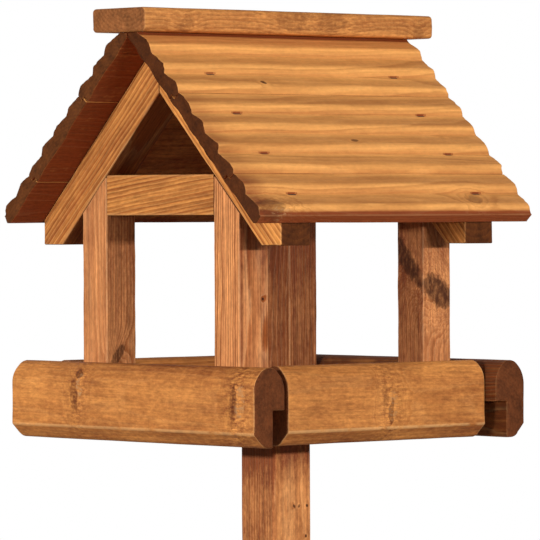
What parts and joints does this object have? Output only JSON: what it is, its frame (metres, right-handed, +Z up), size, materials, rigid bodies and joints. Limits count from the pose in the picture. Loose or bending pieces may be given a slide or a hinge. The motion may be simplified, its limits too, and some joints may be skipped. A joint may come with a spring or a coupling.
{
  "type": "bird table",
  "caption": "Wooden garden bird table: chamfered tray under a ribbed gable roof on square uprights, standing on a square post with crossed, braced feet.",
  "frame": {"origin": "on the ground, on the post's centre line, which is the middle of the crossed feet", "axes": "+Z up; +X along the gable, from the left side rail to the right one; +Y along the ridge, from the front gable to the back one"},
  "size_m": [0.6, 0.6, 1.5004],
  "materials": {
    "stained_timber": "stained softwood, satin",
    "roof_timber": "stained softwood, satin, ribbed",
    "floor_timber": "stained softwood, matt",
    "base_timber": "stained softwood, satin",
    "dowel_wood": "bare hardwood",
    "zinc_steel": "zinc plated"
  },
  "bodies": {
    "root": {"back_upright_screws": "zinc_steel", "bearer_left": "floor_timber", "bearer_right": "floor_timber", "bearer_screws": "zinc_steel", "brace_back": "base_timber", "brace_front": "base_timber", "brace_left": "base_timber", "brace_right": "base_timber", "brace_screws": "zinc_steel", "coach_bolts": "zinc_steel", "floor_board_1": "floor_timber", "floor_board_2": "floor_timber", "floor_board_3": "floor_timber", "floor_board_4": "floor_timber", "floor_nails": "zinc_steel", "floor_screws": "zinc_steel", "foot_cross": "base_timber", "foot_long": "base_timber", "foot_screws": "zinc_steel", "frame_dowels": "dowel_wood", "front_upright_screws": "zinc_steel", "nuts": "zinc_steel", "post": "base_timber", "rafter_back_left": "stained_timber", "rafter_back_right": "stained_timber", "rafter_front_left": "stained_timber", "rafter_front_right": "stained_timber", "rafter_screws": "zinc_steel", "rail_back": "stained_timber", "rail_dowels": "dowel_wood", "rail_front": "stained_timber", "rail_left": "stained_timber", "rail_right": "stained_timber", "ridge_cap": "stained_timber", "ridge_screws": "zinc_steel", "roof_board_left_1": "roof_timber", "roof_board_left_2": "roof_timber", "roof_board_left_3": "roof_timber", "roof_board_right_1": "roof_timber", "roof_board_right_2": "roof_timber", "roof_board_right_3": "roof_timber", "roof_staples": "zinc_steel", "tie_beam_back": "stained_timber", "tie_beam_front": "stained_timber", "upright_back_left": "stained_timber", "upright_back_right": "stained_timber", "upright_front_left": "stained_timber", "upright_front_right": "stained_timber", "washers": "zinc_steel"}
  },
  "joints": []
}
